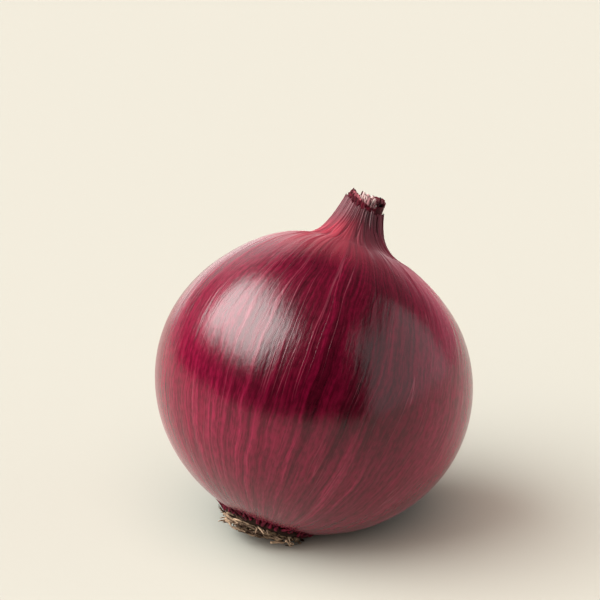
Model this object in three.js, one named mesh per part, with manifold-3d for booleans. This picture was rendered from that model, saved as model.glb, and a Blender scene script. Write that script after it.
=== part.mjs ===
// A red onion, cured and topped: the round bulb in its glossy papery skin, the dried leaf
// stump that stands out of its neck, and the root plate with its trimmed roots underneath.
// Millimetres, +Z up. The origin is the centre of the small flat spot that the bulb rests on.
// The bulb leans, so its neck points up and towards +X and its roots look down towards -X.
import * as THREE from 'three';
import { mergeVertices } from 'three/addons/utils/BufferGeometryUtils.js';
import Module from 'manifold-3d';

// ---- driving dimensions ----
const BULB_RADIUS = 40; // bulb axis to the widest ring
const ROOT_END_DEPTH = 37.5; // widest ring down to the root end
const DOME_RISE = 37.5; // widest ring up to where the round dome would close
const SHOULDER_HEIGHT = 34.2; // widest ring up to where the dome turns into the neck
const SHOULDER_RUN = 2.5; // how far the dome's own slope runs on into the neck
const NECK_FLARE_RADIUS = 7.6; // how far out the neck's hollow curve is pulled
const NECK_FLARE_HEIGHT = 33.8; // and how low
const RIM_RADIUS = 5.4; // outside of the neck's skin at its torn rim
const RIM_HEIGHT = 47; // widest ring up to that rim
const NECK_BEND = 1.6; // how far the neck has shifted off the bulb axis
const BEND_START = 22; // widest ring up to where it begins to shift
const BEND_END = 40; // and up to where the neck runs parallel to the axis again
const BEND_HEADING = THREE.MathUtils.degToRad(133.5); // bend's direction round the bulb axis
const COLLAR_WALL = 0.9; // layers of dry skin round the leaf stump
const SOCKET_DEPTH = 3; // how far the leaf stump reaches down inside the rim
const STUMP_STAND = 4; // how far the leaf stump stands above the rim
const STUMP_DOME = 2.6; // height of its rounded, frayed top
const LEAN = THREE.MathUtils.degToRad(26.6); // bulb axis from upright
const FLAT_SPOT_DEPTH = 0.6; // how far the rest spot is pressed into the round bulb
const PLATE_RADIUS = 11.4; // root plate
const PLATE_EDGE = 0.5; // its thickness at the edge
const PLATE_SWELL = 1.4; // its thickness in the middle
const ROOT_COUNT = 34;
const ROOT_THICKNESS = 1.2;
const ROOT_REACH = 2.1; // how far the trimmed roots reach below the bulb, along its axis
const ROOT_SPLAY = 2.2; // how far they spread outwards on the way
const ROOT_CURL = 2; // and how far they curl sideways
const CURL_WAVES = 3; // times that the curl changes from left to right round the plate
const KNEE_CURL = 0.25; // share of the curl that a root has at its knee
const FIT_GAP = 0.3; // between pieces that touch
const FLOOR_GAP = 0.25; // between the pressed-down roots and the surface

// ---- how finely the round shapes are divided ----
const TURN_STEPS = 72;
const BELLY_STEPS = 22;
const DOME_STEPS = 12;
const NECK_STEPS = 9;
const CROWN_STEPS = 4;
const ROOT_SIDES = 6;
const ROOT_STEPS = 4;

const GOLDEN_ANGLE = Math.PI * (3 - Math.sqrt(5)); // spreads the roots evenly over the plate
const FULL_TURN = 2 * Math.PI;
const WELD = 1e-4; // vertices closer than this are one
const FAR = 100; // larger than the onion, for the cutting block under it

const wasm = await Module();
wasm.setup();

// ---- solids: geometry in, joined or cut geometry out ----
function solidOf(geometry) {
  const bare = new THREE.BufferGeometry();
  bare.setAttribute('position', geometry.getAttribute('position').clone());
  bare.setIndex(geometry.index);
  const merged = mergeVertices(bare, WELD);
  return new wasm.Manifold(new wasm.Mesh({
    numProp: 3,
    vertProperties: merged.getAttribute('position').array,
    triVerts: new Uint32Array(merged.index.array),
  }));
}

function geometryOf(solid) {
  const { vertProperties, triVerts } = solid.getMesh();
  const geometry = new THREE.BufferGeometry();
  geometry.setAttribute('position', new THREE.BufferAttribute(vertProperties, 3));
  geometry.setIndex(new THREE.BufferAttribute(triVerts, 1));
  geometry.computeVertexNormals();
  return geometry;
}

// Points on an upright ellipse about the bulb axis, by angle up from its widest ring.
function ellipseArc(radius, height, middle, fromAngle, toAngle, steps) {
  return Array.from({ length: steps + 1 }, (_, i) => {
    const angle = fromAngle + ((toAngle - fromAngle) * i) / steps;
    const r = Math.abs(angle) === Math.PI / 2 ? 0 : radius * Math.cos(angle);
    return new THREE.Vector2(r, middle + height * Math.sin(angle));
  });
}

// Turns a profile about the bulb axis.
function turned(profile) {
  return new THREE.LatheGeometry(profile, TURN_STEPS).rotateX(Math.PI / 2);
}

// ---- the bulb's own frame: its axis is Z, its widest ring lies in Z = 0 ----

// The dome's top and the neck shift sideways, softly between BEND_START and BEND_END.
function bendNeck(geometry) {
  const position = geometry.getAttribute('position');
  for (let i = 0; i < position.count; i++) {
    const shift = NECK_BEND * THREE.MathUtils.smoothstep(position.getZ(i), BEND_START, BEND_END);
    position.setX(i, position.getX(i) + shift * Math.cos(BEND_HEADING));
    position.setY(i, position.getY(i) + shift * Math.sin(BEND_HEADING));
  }
  return geometry;
}

// Bulb: belly, dome, hollow-sided neck, torn rim, and the socket the leaf stump grows out of.
const shoulderAngle = Math.asin(SHOULDER_HEIGHT / DOME_RISE);
const socketRadius = RIM_RADIUS - COLLAR_WALL;
const socketFloor = RIM_HEIGHT - SOCKET_DEPTH;

function neckCurve() {
  const slope = new THREE.Vector2(
    -BULB_RADIUS * Math.sin(shoulderAngle),
    DOME_RISE * Math.cos(shoulderAngle),
  ).setLength(SHOULDER_RUN);
  const shoulder = new THREE.Vector2(BULB_RADIUS * Math.cos(shoulderAngle), SHOULDER_HEIGHT);
  return new THREE.CubicBezierCurve(
    shoulder,
    shoulder.clone().add(slope),
    new THREE.Vector2(NECK_FLARE_RADIUS, NECK_FLARE_HEIGHT),
    new THREE.Vector2(RIM_RADIUS, RIM_HEIGHT),
  );
}

function bulbGeometry() {
  const belly = ellipseArc(BULB_RADIUS, ROOT_END_DEPTH, 0, -Math.PI / 2, 0, BELLY_STEPS);
  const dome = ellipseArc(BULB_RADIUS, DOME_RISE, 0, 0, shoulderAngle, DOME_STEPS);
  const neck = neckCurve().getPoints(NECK_STEPS);
  const socket = [
    new THREE.Vector2(socketRadius, RIM_HEIGHT),
    new THREE.Vector2(socketRadius, socketFloor),
    new THREE.Vector2(0, socketFloor),
  ];
  return bendNeck(turned([...belly, ...dome.slice(1), ...neck.slice(1), ...socket]));
}

// Leaf stump: the dry, packed bases of the inner leaves, with a rounded frayed top.
function leafStumpGeometry() {
  const radius = socketRadius - FIT_GAP;
  const foot = socketFloor + FIT_GAP;
  const domeFoot = RIM_HEIGHT + STUMP_STAND - STUMP_DOME;
  const crown = ellipseArc(radius, STUMP_DOME, domeFoot, 0, Math.PI / 2, CROWN_STEPS);
  const side = new THREE.LineCurve(new THREE.Vector2(radius, foot), crown[0]).getPoints(2);
  return bendNeck(turned([new THREE.Vector2(0, foot), ...side.slice(0, -1), ...crown]));
}

// The room that the bulb's round root end takes up, with the fit gap all round.
function rootEndRoom() {
  const grown = ellipseArc(
    BULB_RADIUS + FIT_GAP, ROOT_END_DEPTH + FIT_GAP, 0, -Math.PI / 2, 0, BELLY_STEPS,
  );
  return solidOf(turned([...grown, new THREE.Vector2(0, 0)]));
}

// Root plate: a shallow disc that follows the root end and swells towards the middle.
function rootPlateSolid() {
  const edgeAngle = -Math.acos(PLATE_RADIUS / BULB_RADIUS);
  const edge = ROOT_END_DEPTH * Math.sin(edgeAngle);
  const underside = ellipseArc(
    PLATE_RADIUS, ROOT_END_DEPTH + PLATE_SWELL + edge - PLATE_EDGE, edge - PLATE_EDGE,
    -Math.PI / 2, 0, CROWN_STEPS,
  );
  const top = edge + PLATE_SWELL;
  return solidOf(turned([
    ...underside, new THREE.Vector2(PLATE_RADIUS, top), new THREE.Vector2(0, top),
  ]));
}

// One root: out of the plate, then bending outwards and curling sideways to its cut end.
function rootSolid(index) {
  const share = Math.sqrt((index + 0.5) / ROOT_COUNT);
  const heading = index * GOLDEN_ANGLE;
  const outward = new THREE.Vector3(Math.cos(heading), Math.sin(heading), 0);
  const sideways = new THREE.Vector3(-outward.y, outward.x, 0);
  const rooting = share * (PLATE_RADIUS - ROOT_THICKNESS);
  const depth = ROOT_END_DEPTH * Math.sqrt(1 - (rooting / BULB_RADIUS) ** 2);
  const curl = ROOT_CURL * Math.sin(heading * CURL_WAVES);
  const start = outward.clone().multiplyScalar(rooting).setZ(-depth - FIT_GAP);
  const end = start.z - ROOT_REACH;
  const knee = start.clone().addScaledVector(sideways, curl * KNEE_CURL).setZ(end);
  const tip = start.clone().addScaledVector(outward, ROOT_SPLAY * share)
    .addScaledVector(sideways, curl).setZ(end - PLATE_EDGE);
  const outline = new THREE.Shape(Array.from({ length: ROOT_SIDES }, (_, side) => {
    const angle = (side * FULL_TURN) / ROOT_SIDES;
    return new THREE.Vector2(Math.cos(angle), Math.sin(angle)).multiplyScalar(ROOT_THICKNESS / 2);
  }));
  return solidOf(new THREE.ExtrudeGeometry(outline, {
    steps: ROOT_STEPS,
    extrudePath: new THREE.QuadraticBezierCurve3(start, knee, tip),
  }));
}

function rootTuftGeometry() {
  let tuft = rootPlateSolid();
  for (let index = 0; index < ROOT_COUNT; index++) tuft = tuft.add(rootSolid(index));
  return geometryOf(tuft.subtract(rootEndRoom()));
}

// ---- leaning on the rest spot ----
const restHeight = Math.hypot(ROOT_END_DEPTH * Math.cos(LEAN), BULB_RADIUS * Math.sin(LEAN));
const restOffset = ((BULB_RADIUS ** 2 - ROOT_END_DEPTH ** 2) * Math.sin(LEAN) * Math.cos(LEAN))
  / restHeight;
const stand = new THREE.Matrix4().makeRotationY(LEAN)
  .setPosition(-restOffset, 0, restHeight - FLAT_SPOT_DEPTH);

// Stands a piece up and cuts it off flat at a height above the surface.
function stoodAndCut(geometry, height) {
  const block = new THREE.BoxGeometry(FAR, FAR, FAR).translate(0, 0, height - FAR / 2);
  return geometryOf(solidOf(geometry.applyMatrix4(stand)).subtract(solidOf(block)));
}

// ---- the pieces ----
const skin = new THREE.MeshStandardMaterial({ color: 0x6e1026, roughness: 0.35, metalness: 0 });
const dryLeaf = new THREE.MeshStandardMaterial({ color: 0x9c7f7a, roughness: 0.85, metalness: 0 });
const dryRoot = new THREE.MeshStandardMaterial({ color: 0x8f7049, roughness: 0.9, metalness: 0 });

function piece(name, geometry, material) {
  const mesh = new THREE.Mesh(geometry, material);
  mesh.name = name;
  return mesh;
}

const onion = new THREE.Group();
onion.add(
  piece('bulb', stoodAndCut(bulbGeometry(), 0), skin),
  piece('leaf_stump', leafStumpGeometry().applyMatrix4(stand), dryLeaf),
  piece('root_tuft', stoodAndCut(rootTuftGeometry(), FLOOR_GAP), dryRoot),
);

export default onion;
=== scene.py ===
# %% [markdown]
# # A red onion
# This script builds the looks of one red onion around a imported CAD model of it. The CAD model
# holds the true sizes: the bulb, the stump of dry leaves in its neck, and the root tuft under it.
# Here each of them gets its fine surface: ribs and furrows, torn papery edges, dry roots, and the
# streaked, glossy skin. Lengths are in metres, and the onion stands where the CAD model stands.

# %% Load the fixed frame
import math

import bmesh
import bpy
import numpy as np
from mathutils import Matrix, Vector, noise


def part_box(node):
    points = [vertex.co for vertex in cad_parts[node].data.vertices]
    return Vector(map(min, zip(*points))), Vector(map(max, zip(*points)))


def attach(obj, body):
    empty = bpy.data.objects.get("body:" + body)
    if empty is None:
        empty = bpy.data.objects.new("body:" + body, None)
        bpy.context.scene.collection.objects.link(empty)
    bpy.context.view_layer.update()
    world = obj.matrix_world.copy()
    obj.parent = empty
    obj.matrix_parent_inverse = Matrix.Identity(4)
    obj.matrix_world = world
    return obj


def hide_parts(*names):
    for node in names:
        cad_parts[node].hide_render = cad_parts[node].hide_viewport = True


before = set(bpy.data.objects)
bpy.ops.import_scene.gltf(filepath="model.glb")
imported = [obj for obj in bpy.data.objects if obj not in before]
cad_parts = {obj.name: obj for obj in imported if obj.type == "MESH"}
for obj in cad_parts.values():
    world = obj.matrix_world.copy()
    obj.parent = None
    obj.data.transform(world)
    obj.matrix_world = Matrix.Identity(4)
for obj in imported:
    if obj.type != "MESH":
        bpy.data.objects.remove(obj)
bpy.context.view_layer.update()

scene = bpy.context.scene
print("CAD nodes:", sorted(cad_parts))

# %% [markdown]
# ## The sizes that everything follows
# The bulb is a solid of revolution that has been tipped over. Its radius is read from the CAD
# box, and the other sizes are those that a grower would measure with a calliper: how deep the
# root end sits, where the shoulder turns into the neck, how wide the neck is. `STAND` is the
# matrix that takes the bulb's own upright frame, with its widest ring at height 0, to the
# place where the onion leans on its flat spot.

# %% Sizes of the onion
MM = 0.001
bulb_low, bulb_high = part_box("bulb")
RADIUS = (bulb_high.y - bulb_low.y) / 2
ROOT_END = 37.5 * MM
SHOULDER_HEIGHT = 34.2 * MM
RIM_RADIUS = 5.45 * MM
RIM_HEIGHT = 46.9 * MM
NECK_SHIFT = 1.8 * MM
SHIFT_FROM, SHIFT_TO = 22 * MM, 40 * MM
SHIFT_HEADING = math.radians(133.5)
LEAN = math.radians(26.6)
FLAT_SPOT_DEPTH = 0.6 * MM

rest_height = math.hypot(ROOT_END * math.cos(LEAN), RADIUS * math.sin(LEAN))
rest_offset = (RADIUS**2 - ROOT_END**2) * math.sin(LEAN) * math.cos(LEAN) / rest_height
BULB_CENTRE = Vector((-rest_offset, 0, rest_height - FLAT_SPOT_DEPTH))
STAND = Matrix.Translation(BULB_CENTRE) @ Matrix.Rotation(LEAN, 4, "Y")
print("bulb centre", [round(v / MM, 2) for v in BULB_CENTRE], "mm, radius", round(RADIUS / MM, 2))

# %% [markdown]
# ## Camera
# The onion is seen from its root side, a little from above, with a long lens that keeps the
# round bulb round. The camera is described as a person would: how far away it stands, on which
# bearing, how far it is tipped down, and how far the bulb sits off the middle of its view.

# %% Camera
CAMERA_BEARING = math.radians(-45)
CAMERA_PITCH = math.radians(14)
CAMERA_DISTANCE = 8 * RADIUS
CAMERA_LENS = 76.2
CAMERA_NEAREST = 0.01
BULB_RIGHT_OF_AXIS = 3.4 * MM
BULB_BELOW_AXIS = 20.7 * MM

to_right = Vector((math.cos(CAMERA_BEARING), math.sin(CAMERA_BEARING), 0))
to_camera = Vector((
    math.sin(CAMERA_BEARING) * math.cos(CAMERA_PITCH),
    -math.cos(CAMERA_BEARING) * math.cos(CAMERA_PITCH),
    math.sin(CAMERA_PITCH),
))
to_top = to_camera.cross(to_right)
camera_data = bpy.data.cameras.new("camera")
camera_data.lens = CAMERA_LENS
camera_data.clip_start = CAMERA_NEAREST
camera = bpy.data.objects.new("camera", camera_data)
scene.collection.objects.link(camera)
camera.location = (
    BULB_CENTRE + CAMERA_DISTANCE * to_camera
    - BULB_RIGHT_OF_AXIS * to_right + BULB_BELOW_AXIS * to_top
)
camera.rotation_euler = Matrix((to_right, to_top, to_camera)).transposed().to_euler()
scene.camera = camera
scene.view_settings.view_transform = "Standard"
print("camera", [round(v / MM) for v in camera.location], "mm, lens", CAMERA_LENS, "mm")

# %% [markdown]
# ## Sums in node trees
# Shaders and Geometry Nodes both compute with small Math nodes. Wiring them one by one is slow to
# write and slow to read, so `Wire` wraps the output of a node and lets ordinary Python sums
# make the nodes: `a * 2 + b` adds a Multiply and an Add node to the tree.

# %% Helpers for node trees
def plug(tree, value, socket):
    """Feeds a socket with another node's output, or with a plain value."""
    if isinstance(value, Wire):
        tree.links.new(value.socket, socket)
    else:
        socket.default_value = value


class Wire:
    """The output of a node, which sums can be written with."""

    def __init__(self, tree, socket):
        self.tree = tree
        self.socket = socket

    def __add__(self, other):
        return sum_node(self.tree, "ADD", self, other)

    def __sub__(self, other):
        return sum_node(self.tree, "SUBTRACT", self, other)

    def __rsub__(self, other):
        return sum_node(self.tree, "SUBTRACT", other, self)

    def __mul__(self, other):
        return sum_node(self.tree, "MULTIPLY", self, other)

    def __truediv__(self, other):
        return sum_node(self.tree, "DIVIDE", self, other)

    def __pow__(self, other):
        return sum_node(self.tree, "POWER", self, other)

    __radd__ = __add__
    __rmul__ = __mul__


def sum_node(tree, operation, *values):
    node = tree.nodes.new("ShaderNodeMath")
    node.operation = operation
    for value, socket in zip(values, node.inputs):
        plug(tree, value, socket)
    return Wire(tree, node.outputs[0])


def wire_function(operation):
    """Makes a one-input function of wires, such as a sine."""
    return lambda value, *others: sum_node(value.tree, operation, value, *others)


sine, cosine, arcsine = map(wire_function, ("SINE", "COSINE", "ARCSINE"))
absolute, larger, smaller = map(wire_function, ("ABSOLUTE", "MAXIMUM", "MINIMUM"))
angle_of, square_root = map(wire_function, ("ARCTAN2", "SQRT"))


def smooth_step(value, start, end, low=0.0, high=1.0):
    """Goes softly from low to high while value goes from start to end."""
    node = value.tree.nodes.new("ShaderNodeMapRange")
    node.interpolation_type = "SMOOTHSTEP"
    for socket, given in zip(node.inputs[:5], (value, start, end, low, high)):
        plug(value.tree, given, socket)
    return Wire(value.tree, node.outputs[0])


def vector_of(tree, x, y, z):
    node = tree.nodes.new("ShaderNodeCombineXYZ")
    for value, socket in zip((x, y, z), node.inputs):
        plug(tree, value, socket)
    return Wire(tree, node.outputs[0])


def parts_of(vector):
    node = vector.tree.nodes.new("ShaderNodeSeparateXYZ")
    plug(vector.tree, vector, node.inputs[0])
    return [Wire(vector.tree, output) for output in node.outputs]


def noise_of(vector, scale, detail=2.0, roughness=0.5):
    """Smooth noise about 0.5."""
    node = vector.tree.nodes.new("ShaderNodeTexNoise")
    settings = {"Vector": vector, "Scale": scale, "Detail": detail, "Roughness": roughness}
    for name, value in settings.items():
        plug(vector.tree, value, node.inputs[name])
    return Wire(vector.tree, node.outputs[0])


def crease_of(value, width):
    """A narrow line, 1 in the middle, wherever a noise crosses 0.5."""
    return smooth_step(absolute(value - 0.5), 0.0, width, 1.0, 0.0)


def blend_colours(factor, first, second):
    """Goes from the first colour to the second while the factor goes from 0 to 1."""
    tree = factor.tree
    node = tree.nodes.new("ShaderNodeMix")
    node.data_type = "RGBA"
    colour_sockets = (node.inputs[0], node.inputs[6], node.inputs[7])
    for value, socket in zip((factor, first, second), colour_sockets):
        plug(tree, value, socket)
    return Wire(tree, node.outputs[2])


# %% [markdown]
# ## The studio
# A plain cream surface, and light from all round. The light is painted on the world, laid out as in
# a small studio: one large softbox up on the left, a white card on the right, a pale backdrop
# behind with a dimmer wall above it, and dark room behind the camera. Two more things stand round
# the onion. On the right, behind the card, something reddish gives the rim of the bulb its pink
# glow, as a second onion would. On the left, before the backdrop, something dark stands in the
# light's way, as a third onion would. A glossy onion is a mirror for all of this, so these places
# decide what its skin looks like. Bearings are measured from the camera, positive to the left, and
# heights from the horizon, all in degrees.

# %% World: softbox, card, backdrop and dark room
CREAM = (0.896, 0.847, 0.730, 1)
LAMP_WHITE, NEIGHBOUR_PINK = (1.0, 0.975, 0.95), (1.0, 0.36, 0.44)
SOFTBOX = {"bearing": 78, "height": 48, "half_width": 30.5, "half_height": 20, "level": 12.6}
SOFTBOX_FEATHER = 0.20
CARD_LEVEL, ROOM_LEVEL, TOP_LEVEL = 1.32, 0.008, 0.1
NEIGHBOUR_LEVEL, NEIGHBOUR_TOP_LEVEL = 1.1, 0.3
BACKDROP_LEVEL, WALL_LEVEL = 2.1, 1.2
WALL_SHARE_ON_RIGHT = 0.22
DARK_SHARE = 0.8

# From where to where each thing reaches, and how soft its edge is, in degrees.
CARD_BEARINGS, CARD_HEIGHTS = (-113, -38, 4), (-40, 48, 10)
NEIGHBOUR_BEARINGS = (-165, -117, 6)
NEIGHBOUR_HEIGHTS, NEIGHBOUR_TOP_HEIGHTS = (-40, 14, 8), (14, 60, 8)
BACKDROP_HEIGHTS, WALL_HEIGHTS = (-40, 8, 5), (8, 48, 9)
BACKDROP_GAP = (-165, -100, 6)
DARK_BEARINGS, DARK_HEIGHTS = (98, 143, 6), (-4, 32, 6)


def direction(bearing, height):
    """A direction from the onion, by its bearing from the camera and its height."""
    bearing, height = math.radians(bearing), math.radians(height)
    flat_to_camera = Vector((to_camera.x, to_camera.y, 0)).normalized()
    return (
        flat_to_camera * math.cos(bearing) * math.cos(height)
        - to_right * math.sin(bearing) * math.cos(height)
        + Vector((0, 0, math.sin(height)))
    )


def dot_with(parts, fixed):
    """How far three wires, as a vector, reach along a fixed direction."""
    return parts[0] * fixed.x + parts[1] * fixed.y + parts[2] * fixed.z


def window(value, start, end, feather):
    """1 between start and end, with soft sides."""
    rise = smooth_step(value, start - feather, start + feather)
    fall = smooth_step(value, end - feather, end + feather, 1.0, 0.0)
    return rise * fall


def softbox_light(looking):
    """The flat, softly edged square of the softbox, seen from the onion."""
    centre = direction(SOFTBOX["bearing"], SOFTBOX["height"])
    across = direction(SOFTBOX["bearing"] + 90, 0)
    along = centre.cross(across)
    depth = dot_with(looking, centre)
    ahead = larger(depth, 0.05)
    reach_x = math.tan(math.radians(SOFTBOX["half_width"]))
    reach_y = math.tan(math.radians(SOFTBOX["half_height"]))
    x = dot_with(looking, across) / ahead
    y = dot_with(looking, along) / ahead
    inside = window(x, -reach_x, reach_x, SOFTBOX_FEATHER)
    inside = inside * window(y, -reach_y, reach_y, SOFTBOX_FEATHER)
    return inside * smooth_step(depth, 0.1, 0.3) * SOFTBOX["level"]


world = bpy.data.worlds.new("studio")
scene.world = world
world.use_nodes = True
sky = world.node_tree
sky.nodes.clear()
looking = parts_of(Wire(sky, sky.nodes.new("ShaderNodeTexCoord").outputs["Generated"]))
left_of_camera = dot_with(looking, direction(90, 0))
before_camera = dot_with(looking, direction(0, 0))
bearing = angle_of(left_of_camera, before_camera) * math.degrees(1)
height = arcsine(looking[2]) * math.degrees(1)
card = window(bearing, *CARD_BEARINGS) * window(height, *CARD_HEIGHTS) * CARD_LEVEL
neighbour = window(height, *NEIGHBOUR_HEIGHTS) * NEIGHBOUR_LEVEL
neighbour = neighbour + window(height, *NEIGHBOUR_TOP_HEIGHTS) * NEIGHBOUR_TOP_LEVEL
neighbour = neighbour * window(bearing, *NEIGHBOUR_BEARINGS)
behind = smooth_step(absolute(bearing), 110, 126) * (1.0 - window(bearing, *BACKDROP_GAP))
wall = smooth_step(absolute(bearing), 138, 166, WALL_LEVEL * 0.5, WALL_LEVEL)
wall = wall * smooth_step(left_of_camera, -0.06, 0.08, WALL_SHARE_ON_RIGHT, 1.0)
backdrop = window(height, *BACKDROP_HEIGHTS) * BACKDROP_LEVEL
behind = behind * (backdrop + window(height, *WALL_HEIGHTS) * wall)
dark_thing = window(bearing, *DARK_BEARINGS) * window(height, *DARK_HEIGHTS)
behind = behind * (1.0 - dark_thing * DARK_SHARE)
overhead = smooth_step(height, 55, 75, 0, TOP_LEVEL)
light = softbox_light(looking) + card + behind + overhead + ROOM_LEVEL
light_colour = vector_of(
    sky, *[light * white + neighbour * pink for white, pink in zip(LAMP_WHITE, NEIGHBOUR_PINK)]
)
seen_by_camera = Wire(sky, sky.nodes.new("ShaderNodeLightPath").outputs["Is Camera Ray"])
background = sky.nodes.new("ShaderNodeBackground")
plug(sky, blend_colours(seen_by_camera, light_colour, CREAM), background.inputs["Color"])
sky_output = sky.nodes.new("ShaderNodeOutputWorld")
sky.links.new(background.outputs[0], sky_output.inputs["Surface"])
print("world painted with", len(sky.nodes), "nodes")

# %% [markdown]
# The softbox alone would leave a hard, cold shadow. In a bright room the walls fill it with warm
# light, so one very wide lamp stands in for them. It is linked to the floor alone: it only has to
# soften the shadow there, and the onion keeps the clear light and dark sides that show its form.

# %% Fill light
FILL_COLOUR = (1.0, 0.66, 0.58)
FILL_STRENGTH, FILL_WIDTH = 10.9, 92
FILL_BEARING, FILL_HEIGHT = 34, 53

fill_data = bpy.data.lights.new("room_fill", "SUN")
fill_data.color = FILL_COLOUR
fill_data.energy = FILL_STRENGTH
fill_data.angle = math.radians(FILL_WIDTH)
fill = bpy.data.objects.new("room_fill", fill_data)
fill.rotation_euler = direction(FILL_BEARING, FILL_HEIGHT).to_track_quat("Z", "Y").to_euler()
scene.collection.objects.link(fill)
print("fill light", FILL_WIDTH, "degrees wide, strength", FILL_STRENGTH)

# %% [markdown]
# The surface that the onion stands on reaches 24 cm towards the camera and ends before its foot.
# That edge is out of view, but the skin mirrors it: it is the sharp line where the dark band across
# the bulb turns into the dusty glow below.

# %% Floor
FLOOR_COLOUR, FLOOR_ROUGHNESS = (0.1811, 0.2140, 0.1964, 1), 0.9
FLOOR_FRONT, FLOOR_BACK, FLOOR_SIDE = 0.24, 14.0, 8.0


def plain_material(name, colour, roughness):
    material = bpy.data.materials.new(name)
    material.use_nodes = True
    shader = material.node_tree.nodes["Principled BSDF"]
    shader.inputs["Base Color"].default_value = colour
    shader.inputs["Roughness"].default_value = roughness
    shader.inputs["Specular IOR Level"].default_value = 0.0
    return material


def floor_mesh():
    front = direction(0, 0)
    corners = [
        front * along - to_right * side
        for along, side in (
            (FLOOR_FRONT, -FLOOR_SIDE), (-FLOOR_BACK, -FLOOR_SIDE),
            (-FLOOR_BACK, FLOOR_SIDE), (FLOOR_FRONT, FLOOR_SIDE),
        )
    ]
    mesh = bpy.data.meshes.new("floor")
    mesh.from_pydata([tuple(c) for c in corners], [], [(0, 1, 2, 3)])
    return mesh


floor = bpy.data.objects.new("floor", floor_mesh())
scene.collection.objects.link(floor)
floor.data.materials.append(plain_material("cream_surface", FLOOR_COLOUR, FLOOR_ROUGHNESS))
lit_by_fill = bpy.data.collections.new("lit_by_room_fill")
lit_by_fill.objects.link(floor)
fill.light_linking.receiver_collection = lit_by_fill
print("floor", [round(v, 2) for v in floor.dimensions], "m")

# %% [markdown]
# ## A shared shader effect: streaks along the meridians
# Every dry skin on an onion is a leaf, and its veins run from the root plate to the neck. The
# meshes below carry an attribute, `meridian`, that says where each point lies on the leaf: the
# cosine and sine of its angle round the bulb, and how far along it is from root to neck. Noise that
# is read there with many cells round and few cells along becomes streaks that follow the
# surface and close up towards both ends. The group puts out soft bands and thin lines.

# %% Shader group: streaks
def new_group(name, inputs, outputs, tree_type="ShaderNodeTree"):
    """A node group, its inputs as wires by their names, and its output node."""
    group = bpy.data.node_groups.new(name, tree_type)
    for title, kind in inputs:
        group.interface.new_socket(name=title, in_out="INPUT", socket_type=kind)
    for title, kind in outputs:
        group.interface.new_socket(name=title, in_out="OUTPUT", socket_type=kind)
    start, end = group.nodes.new("NodeGroupInput"), group.nodes.new("NodeGroupOutput")
    return group, {s.name: Wire(group, s) for s in start.outputs if s.name}, end


streaks, given, end = new_group(
    "meridian_streaks",
    [("Meridian", "NodeSocketVector"), ("Cells Round", "NodeSocketFloat"),
     ("Cells Along", "NodeSocketFloat"), ("Shift", "NodeSocketFloat"),
     ("Line Width", "NodeSocketFloat"), ("Waver", "NodeSocketFloat")],
    [("Bands", "NodeSocketFloat"), ("Lines", "NodeSocketFloat")],
)
round_x, round_y, along = parts_of(given["Meridian"])
waver = (noise_of(given["Meridian"], 2.6, 1.0) - 0.5) * given["Waver"]
place = vector_of(
    streaks,
    (round_x - round_y * waver) * given["Cells Round"] + given["Shift"],
    (round_y + round_x * waver) * given["Cells Round"],
    along * given["Cells Along"],
)
grain = noise_of(place, 1.0, 2.0, 0.5)
plug(streaks, smooth_step(grain, 0.22, 0.78), end.inputs["Bands"])
plug(streaks, crease_of(grain, given["Line Width"]), end.inputs["Lines"])


def streaks_of(meridian, cells_round, cells_along, shift=0.0, line_width=0.05, waver=0.12):
    """Places the streaks group and returns its bands and its lines."""
    tree = meridian.tree
    node = tree.nodes.new("ShaderNodeGroup")
    node.node_tree = streaks
    values = (meridian, cells_round, cells_along, shift, line_width, waver)
    for value, socket in zip(values, node.inputs):
        plug(tree, value, socket)
    return Wire(tree, node.outputs["Bands"]), Wire(tree, node.outputs["Lines"])


def attribute_of(tree, name, output="Vector"):
    node = tree.nodes.new("ShaderNodeAttribute")
    node.attribute_name = name
    return Wire(tree, node.outputs[output])


def new_material(name):
    """A material, its node tree and its Principled shader."""
    material = bpy.data.materials.new(name)
    material.use_nodes = True
    tree = material.node_tree
    return material, tree, tree.nodes["Principled BSDF"]


def add_bump(tree, shader, height, distance):
    """Ruffles the light on the surface, as if it went up and down by a distance."""
    bump = tree.nodes.new("ShaderNodeBump")
    bump.inputs["Strength"].default_value = 1.0
    bump.inputs["Distance"].default_value = distance
    plug(tree, height, bump.inputs["Height"])
    tree.links.new(bump.outputs["Normal"], shader.inputs["Normal"])


def object_place(tree):
    return Wire(tree, tree.nodes.new("ShaderNodeTexCoord").outputs["Object"])
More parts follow.
